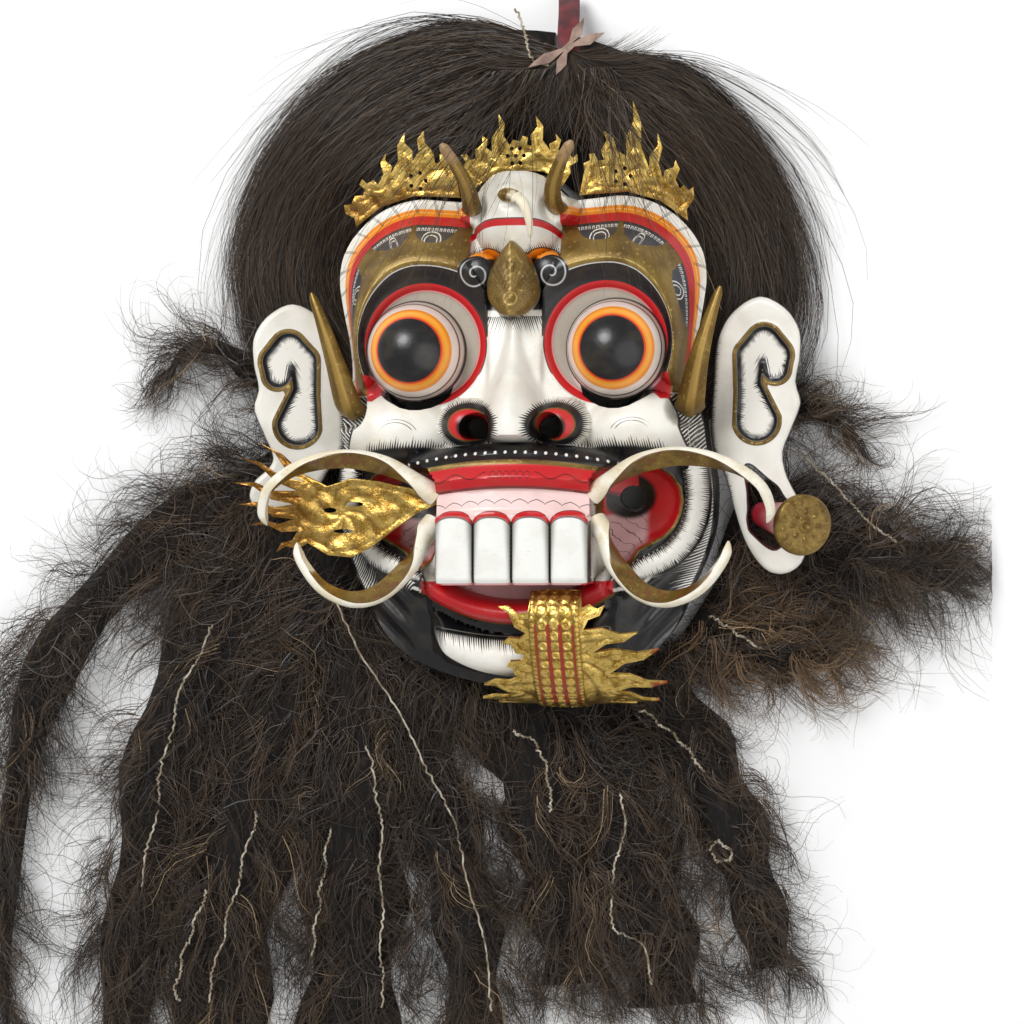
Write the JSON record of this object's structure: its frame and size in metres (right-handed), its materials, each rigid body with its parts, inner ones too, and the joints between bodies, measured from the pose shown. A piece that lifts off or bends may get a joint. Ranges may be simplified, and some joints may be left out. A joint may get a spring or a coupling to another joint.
{
  "type": "rangda mask",
  "caption": "Balinese rangda demon mask with bulging eyes, bared teeth, curling tusks, gilt leather crown, leaf and tongue, big ears and long dark hair, lying on its back.",
  "frame": {"origin": "middle of the underside's bounding rectangle, on the plane that the mask's back rim lies on", "axes": "+Z out of the face, +Y towards the crown, +X towards the viewer's right of the face"},
  "size_m": [0.678, 0.7464, 0.1344],
  "materials": {
    "painted_wood": "glossy hand-painted",
    "painted_plug": "satin painted, gilt cap",
    "ivory": "polished",
    "gilt": "gold paint",
    "gilt_leather": "gold leaf on leather",
    "red_leather": "matte",
    "pale_leather": "matte",
    "hair": "fibrous"
  },
  "bodies": {
    "root": {"beard_left": "hair", "beard_middle": "hair", "beard_right": "hair", "cheek_leaf": "gilt_leather", "crown_hair_left": "hair", "crown_hair_right": "hair", "crown_left": "gilt_leather", "crown_middle": "gilt_leather", "crown_right": "gilt_leather", "ear_left": "painted_wood", "ear_plug": "painted_plug", "ear_right": "painted_wood", "forehead_hook": "ivory", "hair_left_curl": "hair", "hair_right_curl": "hair", "hair_strap": "red_leather", "horn_left": "gilt", "horn_right": "gilt", "lace_ends": "pale_leather", "mane_left_1": "hair", "mane_left_2": "hair", "mane_left_3": "hair", "mane_left_4": "hair", "mane_left_5": "hair", "mane_right_1": "hair", "mane_right_2": "hair", "mask_face": "painted_wood", "temple_spike_left": "gilt", "temple_spike_right": "gilt", "tongue": "gilt_leather", "tusk_lower_left": "ivory", "tusk_lower_right": "ivory", "tusk_upper_left": "ivory", "tusk_upper_right": "ivory"}
  },
  "joints": []
}
